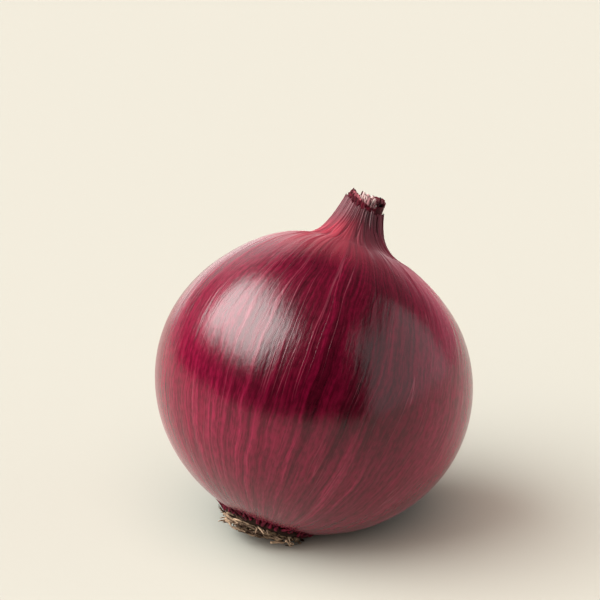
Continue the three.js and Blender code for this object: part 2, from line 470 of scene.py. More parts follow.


# %% [markdown]
# ## The skin's finish
# The outer skin is one dry leaf, thin and glossy like varnished paper. Its pigment lies in bands:
# dusky maroon ground, brighter crimson between, and fine lighter veins that fade in and out. It
# is mottled on the scale of a millimetre, where the cells of the leaf dried unevenly, and thin pale
# scratch lines run along the grain, their pink partly real and partly painted glints. Towards the
# neck it is drier and pinker, and on its lit side the pink is painted stronger as light. Painted
# shade makes its furrows nearly black and one side of the neck maroon, and the neck darkens towards
# its rim. Round the bulb the colour changes with light painted into it: a painted shade strip on
# the side towards the camera, unshaded red on most of the rest, and a paler pink on the right that
# is a painted reflection of the reddish thing standing there. Towards the root end all of it turns
# paler and redder. The bump is low, only enough to ruffle the edges of the reflections along the
# grain.

# %% Material: glossy red skin
DUSK, CRIMSON = (0.020, 0.0002, 0.0028, 1), (0.070, 0.0003, 0.0085, 1)
ROOT_DUSK, ROOT_CRIMSON = (0.052, 0.0010, 0.0080, 1), (0.165, 0.0034, 0.0240, 1)
VEIN, ROOT_VEIN = (0.145, 0.0016, 0.0200, 1), (0.290, 0.0130, 0.0520, 1)
# The dark colour after the dry pink is painted shade for the furrows and one side of the neck; it
# also darkens the neck towards its rim.
DRY_PINK, PAINTED_SHADE_DARK = (0.500, 0.0300, 0.0580, 1), (0.040, 0.0006, 0.0055, 1)
# Pale pink for the scratch lines, partly real and partly a painted glint.
SCRATCH_AND_GLINT_PINK = (0.34, 0.075, 0.110, 1)
# The red outside the painted shade, a pink painted as a reflection, and the sides on which light
# and shade are painted.
UNSHADED_RED, PAINTED_REFLECTION_RED = (0.190, 0.0010, 0.0250, 1), (0.310, 0.0060, 0.0480, 1)
PAINTED_LIGHT_SIDE, SHADED_SIDE, PAINTED_REFLECTION_SIDE, NECK_SHADE_SIDE = map(math.radians, (150, 232, 315, 268))
SKIN_IOR, SKIN_BUMP = 1.43, 0.085 * MM
SHEEN_WEIGHT, SHEEN_ROUGHNESS, SHEEN_TINT = 0.13, 0.35, (1.0, 0.46, 0.52, 1)


def towards_side(round_x, round_y, side):
    """1 on one side of the bulb, -1 on the opposite one."""
    return round_x * math.cos(side) + round_y * math.sin(side)


def make_skin():
    material, tree, shader = new_material("red_onion_skin")
    meridian = attribute_of(tree, "meridian")
    along = parts_of(meridian)[2]
    dry = attribute_of(tree, "dryness", "Fac")
    furrow = attribute_of(tree, "furrow", "Fac")
    patches, _ = streaks_of(meridian, 2.2, 1.3, 3.1)
    broad, veins = streaks_of(meridian, 7.5, 0.28, 11.7, 0.13)
    middle, thin_veins = streaks_of(meridian, 17.0, 0.5, 5.3, 0.09)
    fibre, _ = streaks_of(meridian, 42.0, 1.2, 8.9)
    fine, _ = streaks_of(meridian, 95.0, 4.0, 2.4)
    mottle, _ = streaks_of(meridian, 55.0, 22.0, 6.6, waver=0.0)
    _, scratches_and_glints = streaks_of(meridian, 9.0, 0.35, 21.3, 0.010, waver=0.05)
    rootward = smooth_step(along, -0.13, -0.50)
    round_x, round_y, _ = parts_of(meridian)
    lit_side = towards_side(round_x, round_y, PAINTED_LIGHT_SIDE)
    shaded_side = towards_side(round_x, round_y, SHADED_SIDE)
    painted_reflection_side = towards_side(round_x, round_y, PAINTED_REFLECTION_SIDE)
    neck_shade_side = towards_side(round_x, round_y, NECK_SHADE_SIDE)

    # The ground colour: painted shade on the strip towards the camera, a painted pink reflection on
    # the right, and its change towards the root.
    ground = blend_colours(patches * 0.6 + broad * 0.4, DUSK, CRIMSON)
    # Painted shade: the strip that faces the camera stays darker, and the rest takes the unshaded
    # red.
    ground = blend_colours(smooth_step(shaded_side, 0.95, 0.45) * 0.6, ground, UNSHADED_RED)
    # A paler pink on the right side, painted as the reflection of the reddish thing that stands
    # there.
    ground = blend_colours(smooth_step(painted_reflection_side, 0.3, 0.95) * 0.72, ground, PAINTED_REFLECTION_RED)
    low_ground = blend_colours(patches * 0.35 + broad * 0.65, ROOT_DUSK, ROOT_CRIMSON)
    ground = blend_colours(rootward, ground, low_ground)

    # Veins, mottle and thin pale scratch lines, their pink partly real and partly a painted glint.
    vein_colour = blend_colours(rootward, VEIN, ROOT_VEIN)
    vein_share = larger(veins * (0.24 + middle * 0.42), thin_veins * 0.28)
    vein_share = vein_share * (0.55 + fibre * 0.30 + fine * 0.25)
    coloured = blend_colours(vein_share, ground, vein_colour)
    cells = mottle * 0.40 + fibre * 0.30 + fine * 0.30
    shade = smooth_step(cells, 0.2, 0.8, 0.66, 1.34)
    shades = vector_of(tree, shade, shade, shade)
    product = tree.nodes.new("ShaderNodeVectorMath")
    product.operation = "MULTIPLY"
    plug(tree, coloured, product.inputs[0])
    plug(tree, shades, product.inputs[1])
    mottled = Wire(tree, product.outputs[0])
    scratches_and_glints = scratches_and_glints * smooth_step(patches, 0.35, 0.75)
    scratched_and_glinting = blend_colours(scratches_and_glints * (0.1 + fibre * 0.35), mottled, SCRATCH_AND_GLINT_PINK)

    # Dry pink towards the neck, painted stronger on its lit side as light; painted shade in the
    # furrows and on one side of the neck, and darker towards the rim.
    pinkness = dry * (0.16 + middle * 0.48) * smooth_step(lit_side, -0.1, 0.7, 0.25, 1.25)
    dried = blend_colours(pinkness, scratched_and_glinting, DRY_PINK)
    # Painted shade: one side of the neck, above the shoulder, goes dark maroon.
    painted_neck_shade = smooth_step(neck_shade_side, 0.2, 0.9) * smooth_step(along, 0.95, 1.25)
    # Painted shade darkens the furrows nearly to black; the neck also darkens towards its rim.
    darkest = larger(furrow * 0.80, larger(smooth_step(along, 1.50, 1.72), painted_neck_shade) * 0.66)
    furrowed = blend_colours(darkest, dried, PAINTED_SHADE_DARK)
    plug(tree, furrowed, shader.inputs["Base Color"])

    # Gloss, a papery sheen, and a low relief.
    rough = 0.18 + dry * 0.18 + cells * 0.07 + smooth_step(along, 1.15, 1.50) * 0.24
    plug(tree, rough, shader.inputs["Roughness"])
    shader.inputs["IOR"].default_value = SKIN_IOR
    shader.inputs["Sheen Weight"].default_value = SHEEN_WEIGHT
    shader.inputs["Sheen Roughness"].default_value = SHEEN_ROUGHNESS
    shader.inputs["Sheen Tint"].default_value = SHEEN_TINT
    relief = middle * 0.38 + fibre * 0.24 + veins * 0.18 + fine * 0.07
    relief = relief + mottle * 0.20 + scratches_and_glints * 0.12
    add_bump(tree, shader, relief, SKIN_BUMP)
    return material


skin_material = make_skin()
print(skin_material.name, "has", len(skin_material.node_tree.nodes), "nodes")

# %% [markdown]
# ## The bulb's skin
# The skin follows a rule: a half-ellipse turned about the bulb's axis, drawn up at the shoulder
# into a hollow-sided neck, with ribs and furrows along its meridians. So Geometry Nodes make it. A
# flat grid is bent to the turned shape: one side of the grid runs round the bulb, the other from
# the root end over the belly, up the neck, over the torn rim and back down inside. Noise
# that is stretched along the meridians then moves the surface in and out. A lathe in mesh code
# would do too, but here every size is a named input of the tree, set on a modifier whose result
# is kept as a plain mesh.

# %% Geometry Nodes: turned skin with ribs and furrows
def geometry_node(tree, kind, **inputs):
    node = tree.nodes.new(kind)
    for name, value in inputs.items():
        plug(tree, value, node.inputs[name.replace("_", " ")])
    return node


def new_shape_tree(name, sizes, whole_numbers=()):
    """A tree that makes geometry, with one input for each size and one for the material."""
    inputs = [("Geometry", "NodeSocketGeometry")]
    for size_name in sizes:
        kind = "NodeSocketInt" if size_name in whole_numbers else "NodeSocketFloat"
        inputs.append((size_name, kind))
    inputs.append(("Material", "NodeSocketMaterial"))
    outputs = [("Geometry", "NodeSocketGeometry")]
    return new_group(name, inputs, outputs, "GeometryNodeTree")


def own_position(tree):
    return Wire(tree, tree.nodes.new("GeometryNodeInputPosition").outputs[0])


def store_value(tree, geometry, name, value, data_type="FLOAT", domain="POINT"):
    """Writes a value on every point or corner, for later nodes and for shaders to read."""
    node = tree.nodes.new("GeometryNodeStoreNamedAttribute")
    node.data_type = data_type
    node.domain = domain
    for socket, given in (("Geometry", geometry), ("Name", name), ("Value", value)):
        plug(tree, given, node.inputs[socket])
    return Wire(tree, node.outputs[0])


def stored_value(tree, name):
    node = tree.nodes.new("GeometryNodeInputNamedAttribute")
    node.inputs["Name"].default_value = name
    return Wire(tree, node.outputs[0])


def bezier(share, points):
    """A cubic Bezier curve's height or radius at a share of its length."""
    rest = 1.0 - share
    first, second, third, fourth = points
    return (
        rest ** 3 * first + rest ** 2 * share * second * 3.0
        + rest * share ** 2 * third * 3.0 + share ** 3 * fourth
    )


BULB_SIZES = {
    "Radius": RADIUS,
    "Root End": ROOT_END,
    "Shoulder Height": SHOULDER_HEIGHT,
    "Shoulder Run": 2.5 * MM,
    "Flare Radius": 7.9 * MM,
    "Flare Height": 34.2 * MM,
    "Full Side Swell": 3.0 * MM,
    "Rim Radius": RIM_RADIUS,
    "Rim Height": RIM_HEIGHT,
    "Skin Fold": 0.35 * MM,
    "Throat Depth": 4.0 * MM,
    "Tear Depth": 1.0 * MM,
    "Low Side Drop": 1.9 * MM,
    "High Side Rise": 1.3 * MM,
    "Furrow Depth": 0.42 * MM,
    "Rib Height": 0.06 * MM,
    "Unevenness": 0.22 * MM,
    "Seed": 4.0,
}
BULB_COUNTS = {"Points Round": 400, "Points Along": 191}
BELLY_SHARE, NECK_SHARE = 0.60, 0.92
LOW_SIDE, HIGH_SIDE, FULL_SIDE = map(math.radians, (240, 125, 226))


def bulb_tree():
    tree, size, end = new_shape_tree("turned_skin", {**BULB_SIZES, **BULB_COUNTS}, BULB_COUNTS)
    grid = geometry_node(tree, "GeometryNodeMeshGrid", Size_X=1.0, Size_Y=1.0,
                         Vertices_X=size["Points Round"] + 1.0, Vertices_Y=size["Points Along"])
    grid_x, grid_y, _ = parts_of(own_position(tree))
    turn = (grid_x + 0.5) * math.tau
    row = grid_y + 0.5
    round_x, round_y = cosine(turn), sine(turn)

    # Belly and dome: an angle up from the widest ring.
    shoulder = arcsine(size["Shoulder Height"] / size["Root End"])
    climb = smaller(row / BELLY_SHARE, 1.0)
    angle = climb * (shoulder + math.pi / 2) - math.pi / 2
    belly_out, belly_up = size["Radius"] * cosine(angle), size["Root End"] * sine(angle)

    # Neck: a Bezier curve from the shoulder to the rim, with a fuller foot on one side.
    slope_out, slope_up = size["Radius"] * sine(shoulder), size["Root End"] * cosine(shoulder)
    run = size["Shoulder Run"] / square_root(slope_out ** 2.0 + slope_up ** 2.0)
    shoulder_out = size["Radius"] * cosine(shoulder)
    neck = smaller(larger((row - BELLY_SHARE) / (NECK_SHARE - BELLY_SHARE), 0.0), 1.0)
    neck_out = bezier(neck, (shoulder_out, shoulder_out - slope_out * run,
                             size["Flare Radius"], size["Rim Radius"]))
    full_side = larger(towards_side(round_x, round_y, FULL_SIDE), 0.0)
    flare_height = size["Flare Height"] + full_side ** 2.0 * size["Full Side Swell"]
    neck_up = bezier(neck, (size["Shoulder Height"], size["Shoulder Height"] + slope_up * run,
                            flare_height, size["Rim Height"]))

    # Throat: over the rim and down inside to the axis.
    throat = larger((row - NECK_SHARE) / (1 - NECK_SHARE), 0.0)
    throat_out = (size["Rim Radius"] - size["Skin Fold"] * smooth_step(throat, 0.0, 0.12))
    throat_out = throat_out * (1.0 - throat ** 4.0)
    throat_up = size["Rim Height"] - size["Throat Depth"] * throat ** 0.6

    is_neck = sum_node(tree, "GREATER_THAN", row, BELLY_SHARE)
    is_throat = sum_node(tree, "GREATER_THAN", row, NECK_SHARE)
    out = belly_out + (neck_out - belly_out) * is_neck
    up = belly_up + (neck_up - belly_up) * is_neck
    out = out + (throat_out - out) * is_throat
    up = up + (throat_up - up) * is_throat

    # Torn rim: the last of the neck is longer or shorter from place to place.
    tear_place = vector_of(tree, round_x, round_y, size["Seed"])
    broad_tear = (noise_of(tear_place, 2.2, 1.0) - 0.5) * 2.6
    tear = broad_tear + (noise_of(tear_place, 13.0, 2.0) - 0.5) * 2.6
    high_side = larger(towards_side(round_x, round_y, HIGH_SIDE), 0.0)
    low_side = larger(towards_side(round_x, round_y, LOW_SIDE), 0.0)
    tear = tear * size["Tear Depth"] + high_side * size["High Side Rise"]
    tear = tear - low_side * size["Low Side Drop"]
    up = up + tear * smooth_step(neck, 0.6, 1.0) * (1.0 - throat)

    # The neck stands a little to one side.
    shift = smooth_step(up, SHIFT_FROM, SHIFT_TO) * NECK_SHIFT
    place = vector_of(
        tree,
        out * round_x + shift * math.cos(SHIFT_HEADING),
        out * round_y + shift * math.sin(SHIFT_HEADING),
        up,
    )
    along = angle * (1.0 - is_neck) + is_neck * (shoulder + neck * 0.6)
    meridian = vector_of(tree, round_x, round_y, along)
    dryness = smooth_step(up, 25 * MM, 37 * MM) * smooth_step(up, 35 * MM, 43 * MM, 1.0, 0.32)

    # Furrows of the neck, ribs of the belly, and a slight unevenness all over.
    def grain(cells, height):
        return noise_of(vector_of(tree, round_x * cells, round_y * cells, height), 1.0, 1.0)

    deep = grain(5.2, along * 0.9 + size["Seed"])
    small = grain(12.0, along * 0.9)
    uneven = grain(3.1, along + 7.0)
    furrow = larger(crease_of(deep, 0.075) * smooth_step(up, 29 * MM, 39 * MM),
                    crease_of(small, 0.11) * smooth_step(up, 22 * MM, 37 * MM) * 0.55)
    furrow = furrow * smooth_step(uneven, 0.35, 0.62, 0.25, 1.0)
    furrow = furrow * (1.0 - is_throat)
    ribs = grain(9.0, along * 0.6) - 0.5
    lumps = grain(1.3, along * 0.9) - 0.5
    moved = ribs * 2.0 * size["Rib Height"] + lumps * 2.0 * size["Unevenness"]
    moved = moved - furrow * size["Furrow Depth"]

    mesh = Wire(tree, grid.outputs["Mesh"])
    mesh = store_value(tree, mesh, "meridian", meridian, "FLOAT_VECTOR")
    for name, value in (("dryness", dryness), ("furrow", furrow), ("moved", moved)):
        mesh = store_value(tree, mesh, name, value)
    chart = Wire(tree, grid.outputs["UV Map"])
    mesh = store_value(tree, mesh, "OFBake", chart, "FLOAT2", "CORNER")
    bent = geometry_node(tree, "GeometryNodeSetPosition", Geometry=mesh, Position=place)
    welded = geometry_node(tree, "GeometryNodeMergeByDistance",
                           Geometry=Wire(tree, bent.outputs[0]), Distance=0.0002 * MM)
    outward = tree.nodes.new("ShaderNodeVectorMath")
    outward.operation = "SCALE"
    tree.links.new(tree.nodes.new("GeometryNodeInputNormal").outputs[0], outward.inputs[0])
    plug(tree, stored_value(tree, "moved"), outward.inputs["Scale"])
    ribbed = geometry_node(tree, "GeometryNodeSetPosition", Geometry=Wire(tree, welded.outputs[0]),
                           Offset=Wire(tree, outward.outputs[0]))
    finish_tree(tree, Wire(tree, ribbed.outputs[0]), size["Material"], end)
    return tree


def finish_tree(tree, geometry, material, end):
    """Ends a tree as the export needs it: real geometry, smooth, with its material."""
    real = geometry_node(tree, "GeometryNodeRealizeInstances", Geometry=geometry)
    smooth = geometry_node(tree, "GeometryNodeSetShadeSmooth", Geometry=Wire(tree, real.outputs[0]))
    painted = geometry_node(tree, "GeometryNodeSetMaterial",
                            Geometry=Wire(tree, smooth.outputs[0]), Material=material)
    tree.links.new(painted.outputs[0], end.inputs[0])


def grow(name, tree, values, shift=(0.0, 0.0)):
    """Runs a Geometry Nodes tree and returns its result as a plain mesh in the onion's place."""
    seedling = bpy.data.objects.new(name + "_tree", bpy.data.meshes.new(name + "_start"))
    scene.collection.objects.link(seedling)
    modifier = seedling.modifiers.new(name, "NODES")
    modifier.node_group = tree
    for item in tree.interface.items_tree:
        if item.item_type == "SOCKET" and item.in_out == "INPUT" and item.name in values:
            modifier[item.identifier] = values[item.name]
    evaluated = seedling.evaluated_get(bpy.context.evaluated_depsgraph_get())
    mesh = bpy.data.meshes.new_from_object(evaluated)
    bpy.data.objects.remove(seedling)
    mesh.name = name
    mesh.transform(STAND @ Matrix.Translation((shift[0], shift[1], 0)))
    piece = bpy.data.objects.new(name, mesh)
    scene.collection.objects.link(piece)
    print(name, len(mesh.vertices), "points", len(mesh.polygons), "faces")
    return piece


bulb_skin = grow("bulb_skin", bulb_tree(), {**BULB_SIZES, **BULB_COUNTS, "Material": skin_material})

# %% [markdown]
# The underside rests on a small flat spot. The skin gives way there, so every point of the bulb
# that would lie below the surface is laid on it.

# %% Flat spot
def rest_on_surface(mesh):
    """Lifts every point below the surface onto it, and counts them."""
    points = np.empty(len(mesh.vertices) * 3, np.float32)
    mesh.vertices.foreach_get("co", points)
    points = points.reshape(-1, 3)
    below = points[:, 2] < 0.0
    points[below, 2] = 0.0
    mesh.vertices.foreach_set("co", points.ravel())
    mesh.update()
    return int(below.sum())


print("points on the flat spot:", rest_on_surface(bulb_skin.data))

# %% [markdown]
# ## Papery shreds: colours for the torn parts
# Where the neck was cut and dried, the layers show in four tones: the dark backs of the torn
# skins, their crimson inner faces, the pale pith, and nearly black curled tips. Roots are straw
# and brown. One recipe makes all of these materials, each with its own pair of colours: a streaky
# mixture of the two that also changes from one strand to the next.

# %% Materials: torn skin, pith, shreds, roots
DRY_IOR, DRY_SHINE = 1.45, 0.12


def make_dry(name, dark, light, roughness, relief, dark_until=0.33, light_from=0.82):
    """A matt, streaky mixture of a dark and a light colour."""
    material, tree, shader = new_material(name)
    place = object_place(tree)
    coarse = noise_of(place, 700.0, 3.0, 0.6)
    fine = noise_of(place, 2600.0, 2.0, 0.5)
    strand = attribute_of(tree, "strand", "Fac")
    share = smooth_step(coarse * 0.45 + fine * 0.25 + strand * 0.45, dark_until, light_from)
    plug(tree, blend_colours(share, dark, light), shader.inputs["Base Color"])
    shader.inputs["Roughness"].default_value = roughness
    shader.inputs["IOR"].default_value = DRY_IOR
    shader.inputs["Specular IOR Level"].default_value = DRY_SHINE
    add_bump(tree, shader, coarse * 0.6 + fine * 0.4, relief)
    return material


# For each: its dark colour, its light colour, roughness, relief, and where the two colours meet.
DRY_STUFFS = {
    "torn_dark_skin": ((0.018, 0.001, 0.003, 1), (0.130, 0.006, 0.018, 1), 0.55, 0.15 * MM),
    "torn_pink_skin": ((0.050, 0.002, 0.008, 1), (0.42, 0.11, 0.13, 1), 0.55, 0.15 * MM),
    "pale_pith": ((0.30, 0.13, 0.14, 1), (0.78, 0.62, 0.58, 1), 0.75, 0.25 * MM),
    "dark_shred": ((0.012, 0.002, 0.003, 1), (0.080, 0.012, 0.018, 1), 0.50, 0.10 * MM),
    "dry_root": ((0.030, 0.014, 0.008, 1), (0.70, 0.49, 0.33, 1), 0.62, 0.12 * MM, 0.38, 0.94),
    "root_plate_cork": ((0.020, 0.009, 0.006, 1), (0.100, 0.052, 0.032, 1), 0.80, 0.30 * MM),
    "torn_frill": ((0.024, 0.001, 0.005, 1), (0.160, 0.012, 0.030, 1), 0.45, 0.10 * MM),
}
dry_stuff = {name: make_dry(name, *values) for name, values in DRY_STUFFS.items()}
print("materials:", list(dry_stuff))

# %% [markdown]
# ## Torn layers in the neck
# Below the outer skin lie more skins, each torn off at its own height. A torn layer is a thin
# closed tube: up the outside, over a ragged edge, down the inside. The tree bends a grid to it in
# the same way as for the bulb. The edge is higher on one side than on the other, and the top may
# curl outward. Three of them, one inside the other, fill the neck around the pith.

# %% Geometry Nodes: one torn layer
LAYER_DEFAULTS = {
    "Radius": 4.85 * MM,
    "Foot Height": 41.5 * MM,
    "Low Height": 44.9 * MM,
    "High Height": 50.8 * MM,
    "High Side": 18.0,
    "Skin Thickness": 0.30 * MM,
    "Curl": 0.25 * MM,
    "Tear Depth": 0.8 * MM,
    "Ruffle": 0.35 * MM,
    "Wrinkle": 0.16 * MM,
    "Seed": 1.0,
}
LAYER_POINTS_ROUND, LAYER_POINTS_ALONG = 161, 37
NECK_AXIS_X = NECK_SHIFT * math.cos(SHIFT_HEADING)
NECK_AXIS_Y = NECK_SHIFT * math.sin(SHIFT_HEADING)


def layer_tree():
    tree, size, end = new_shape_tree("torn_layer", LAYER_DEFAULTS)
    grid = geometry_node(tree, "GeometryNodeMeshGrid", Size_X=1.0, Size_Y=1.0,
                         Vertices_X=LAYER_POINTS_ROUND, Vertices_Y=LAYER_POINTS_ALONG)
    grid_x, grid_y, _ = parts_of(own_position(tree))
    turn = (grid_x + 0.5) * math.tau
    loop = (grid_y + 0.5) * 2.0
    round_x, round_y = cosine(turn), sine(turn)
    climb = 1.0 - absolute(1.0 - loop)
    inside = smooth_step(loop, 0.96, 1.04)

    def noise_round(cells, shift):
        place = vector_of(tree, round_x * cells, round_y * cells, size["Seed"] * 3.7 + shift)
        return (noise_of(place, 1.0, 2.0, 0.6) - 0.5) * 2.0

    high_side = size["High Side"] * math.radians(1)
    high = (round_x * cosine(high_side) + round_y * sine(high_side)) * 0.5 + 0.5
    top = size["Low Height"] + (size["High Height"] - size["Low Height"]) * high
    top = top + (noise_round(2.4, 0.0) + noise_round(8.0, 5.0) * 0.8) * size["Tear Depth"]
    up = size["Foot Height"] + (top - size["Foot Height"]) * climb
    curl = climb ** 3.0 * size["Curl"] * (1.0 + noise_round(1.8, 9.0))
    ruffle = noise_round(6.0, 2.0) * climb * size["Ruffle"]
    ruffle = ruffle + noise_round(22.0, 7.0) * size["Wrinkle"]
    wall = inside * size["Skin Thickness"] * (1.15 - climb) * smooth_step(loop, 2.0, 1.85)
    out = size["Radius"] + curl + ruffle - wall
    place = vector_of(tree, out * round_x + NECK_AXIS_X, out * round_y + NECK_AXIS_Y, up)
    streak = noise_round(14.0, 4.0) * 0.9 + 0.5
    tinted = store_value(tree, Wire(tree, grid.outputs["Mesh"]), "strand", streak)
    bent = geometry_node(tree, "GeometryNodeSetPosition", Geometry=tinted, Position=place)
    welded = geometry_node(tree, "GeometryNodeMergeByDistance",
                           Geometry=Wire(tree, bent.outputs[0]), Distance=0.002 * MM)
    finish_tree(tree, Wire(tree, welded.outputs[0]), size["Material"], end)
    return tree


one_layer = layer_tree()
LAYERS = {
    "torn_layer_outer": {"Seed": 1.0, "Material": dry_stuff["torn_dark_skin"]},
    "torn_layer_middle": {"Radius": 4.3 * MM, "Low Height": 45.2 * MM, "High Height": 49.2 * MM,
                          "High Side": 108.0, "Curl": 0.6 * MM, "Ruffle": 0.55 * MM, "Seed": 2.0,
                          "Wrinkle": 0.24 * MM, "Material": dry_stuff["torn_dark_skin"]},
    "torn_layer_inner": {"Radius": 3.4 * MM, "Low Height": 44.8 * MM, "High Height": 50.0 * MM,
                         "High Side": 120.0, "Curl": 0.5 * MM, "Tear Depth": 0.9 * MM,
                         "Ruffle": 0.5 * MM, "Wrinkle": 0.22 * MM, "Seed": 5.0,
                         "Material": dry_stuff["torn_pink_skin"]},
}
torn_layers = [
    grow(name, one_layer, {**LAYER_DEFAULTS, **sizes}) for name, sizes in LAYERS.items()
]

# %% [markdown]
# ## Strands
# Pith fibres, curled tips, roots: all are strands, a bent line with a thin, tapering body. One
# tree grows any tuft of them. It scatters points in a ring-shaped space, stands a short line on
# each, makes the lines real so that each can be bent by noise in its own way, and sweeps a small
# many-sided profile along them. The inputs say how long, how steep, how thick and how wild, and
# at which share of its length a strand is anchored: 0 is its foot, 0.5 its middle.

# %% Geometry Nodes: a tuft of strands
TUFT_DEFAULTS = {
    "Count": 40,
    "Arc Start": 0.0,
    "Arc End": 360.0,
    "Inner Radius": 0.0,
    "Outer Radius": 2.8 * MM,
    "Low": 42.0 * MM,
    "High": 43.0 * MM,
    "Dome": 0.0,
    "Shortest": 4.0 * MM,
    "Longest": 8.0 * MM,
    "Steepness": 80.0,
    "Steepness Spread": 10.0,
    "Heading": 0.0,
    "Heading Spread": 180.0,
    "Thinnest": 0.15 * MM,
    "Thickest": 0.35 * MM,
    "Wander": 0.8 * MM,
    "Wander Scale": 160.0,
    "Tip": 0.25,
    "Anchor": 0.0,
    "Seed": 1,
}
WHOLE_NUMBERS = ("Count", "Seed")
STRAND_POINTS, STRAND_SIDES = 12, 5


def tuft_tree():
    tree, size, end = new_shape_tree("tuft_of_strands", TUFT_DEFAULTS, WHOLE_NUMBERS)

    def chance(low, high, shift):
        node = tree.nodes.new("FunctionNodeRandomValue")
        plug(tree, low, node.inputs[2])
        plug(tree, high, node.inputs[3])
        plug(tree, size["Seed"] + float(shift), node.inputs[8])
        return Wire(tree, node.outputs[1])

    heading = chance(size["Arc Start"] * math.radians(1), size["Arc End"] * math.radians(1), 1)
    inner, outer = size["Inner Radius"], size["Outer Radius"]
    radius = square_root(inner ** 2.0 + (outer ** 2.0 - inner ** 2.0) * chance(0.0, 1.0, 2))
    up = size["Low"] + (size["High"] - size["Low"]) * chance(0.0, 1.0, 3)
    up = up + size["Dome"] * (1.0 - (radius / outer) ** 2.0)
    place = vector_of(tree, radius * cosine(heading), radius * sine(heading), up)
    points = geometry_node(tree, "GeometryNodePoints", Count=size["Count"], Position=place)
    cloud = Wire(tree, points.outputs[0])
    for name, value in (("strand", chance(0.0, 1.0, 4)), ("girth", chance(0.0, 1.0, 5))):
        cloud = store_value(tree, cloud, name, value)
    line = tree.nodes.new("GeometryNodeCurvePrimitiveLine")
    plug(tree, vector_of(tree, 0.0 - size["Anchor"], 0.0, 0.0), line.inputs["Start"])
    plug(tree, vector_of(tree, 1.0 - size["Anchor"], 0.0, 0.0), line.inputs["End"])
    dense = geometry_node(
        tree, "GeometryNodeResampleCurve", Curve=Wire(tree, line.outputs[0]), Count=STRAND_POINTS
    )
    steep = size["Steepness"] + chance(-1.0, 1.0, 6) * size["Steepness Spread"]
    aside = size["Heading"] + chance(-1.0, 1.0, 7) * size["Heading Spread"]
    turn = vector_of(tree, 0.0, steep * math.radians(-1), heading + aside * math.radians(1))
    length = chance(size["Shortest"], size["Longest"], 8)
    planted = tree.nodes.new("GeometryNodeInstanceOnPoints")
    plug(tree, cloud, planted.inputs["Points"])
    plug(tree, Wire(tree, dense.outputs[0]), planted.inputs["Instance"])
    plug(tree, turn, planted.inputs["Rotation"])
    plug(tree, vector_of(tree, length, length, length), planted.inputs["Scale"])
    planted = Wire(tree, planted.outputs[0])
    real = geometry_node(tree, "GeometryNodeRealizeInstances", Geometry=planted)

    # Bend each strand in its own way, more and more towards its tip.
    share = Wire(tree, tree.nodes.new("GeometryNodeSplineParameter").outputs["Factor"])
    own = stored_value(tree, "strand")
    x, y, z = parts_of(own_position(tree))
    seen = vector_of(tree, x + own * 0.05, y + own * 0.03, z)
    bends = []
    for shift in (0.0, 0.11, 0.23):
        moved = tree.nodes.new("ShaderNodeVectorMath")
        plug(tree, seen, moved.inputs[0])
        moved.inputs[1].default_value = (shift, shift, shift)
        bend = noise_of(Wire(tree, moved.outputs[0]), size["Wander Scale"], 2.0, 0.5) - 0.5
        bends.append(bend * 3.0 * size["Wander"] * share)
    wild = geometry_node(tree, "GeometryNodeSetPosition", Geometry=Wire(tree, real.outputs[0]),
                         Offset=vector_of(tree, *bends))

    # Give it a tapering body.
    girth = size["Thinnest"] + (size["Thickest"] - size["Thinnest"]) * stored_value(tree, "girth")
    taper = 1.0 - (1.0 - size["Tip"]) * share ** 1.5
    thick = geometry_node(tree, "GeometryNodeSetCurveRadius", Curve=Wire(tree, wild.outputs[0]),
                          Radius=girth * taper)
    profile = geometry_node(
        tree, "GeometryNodeCurvePrimitiveCircle", Resolution=STRAND_SIDES, Radius=1.0
    )
    swept = tree.nodes.new("GeometryNodeCurveToMesh")
    plug(tree, Wire(tree, thick.outputs[0]), swept.inputs["Curve"])
    plug(tree, Wire(tree, profile.outputs[0]), swept.inputs["Profile Curve"])
    swept.inputs["Fill Caps"].default_value = True
    tree.links.new(tree.nodes.new("GeometryNodeInputRadius").outputs[0], swept.inputs["Scale"])
    finish_tree(tree, Wire(tree, swept.outputs[0]), size["Material"], end)
    return tree


one_tuft = tuft_tree()


def grow_tuft(name, material, shift=(0.0, 0.0), **sizes):
    """Grows one tuft, with every size that isn't given as in the list above."""
    values = {**TUFT_DEFAULTS, **{key.replace("_", " "): value for key, value in sizes.items()}}
    return grow(name, one_tuft, {**values, "Material": material}, shift)


# %% [markdown]
# ## What stands in the neck
# The pith is a bundle of the innermost leaves, dried to pale fibres. Round about two thirds of it
# stand short, dark shreds of torn skin, curled by drying. Both are tufts of the same tree.

# %% Pith and shreds
neck_axis = (NECK_AXIS_X, NECK_AXIS_Y)
pith_axis = (NECK_AXIS_X + 0.3 * MM, NECK_AXIS_Y - 0.4 * MM)
pith = grow_tuft(
    "pith", dry_stuff["pale_pith"], pith_axis, Count=80, Outer_Radius=2.5 * MM,
    Low=42.6 * MM, High=43.4 * MM, Dome=0.9 * MM, Shortest=4.6 * MM, Longest=6.2 * MM,
    Steepness=85.0, Steepness_Spread=6.0, Thinnest=0.26 * MM, Thickest=0.60 * MM,
    Wander=0.32 * MM, Wander_Scale=260.0, Tip=0.7, Seed=3,
)
curled_shreds = grow_tuft(
    "curled_shreds", dry_stuff["dark_shred"], neck_axis, Count=70, Arc_Start=-70.0, Arc_End=165.0,
    Inner_Radius=2.9 * MM, Outer_Radius=4.6 * MM, Low=46.2 * MM, High=48.9 * MM,
    Shortest=1.0 * MM, Longest=2.2 * MM, Steepness=66.0, Steepness_Spread=22.0, Heading=150.0,
    Heading_Spread=70.0, Thinnest=0.22 * MM, Thickest=0.50 * MM, Wander=0.8 * MM,
    Wander_Scale=300.0, Tip=0.3, Seed=11,
)

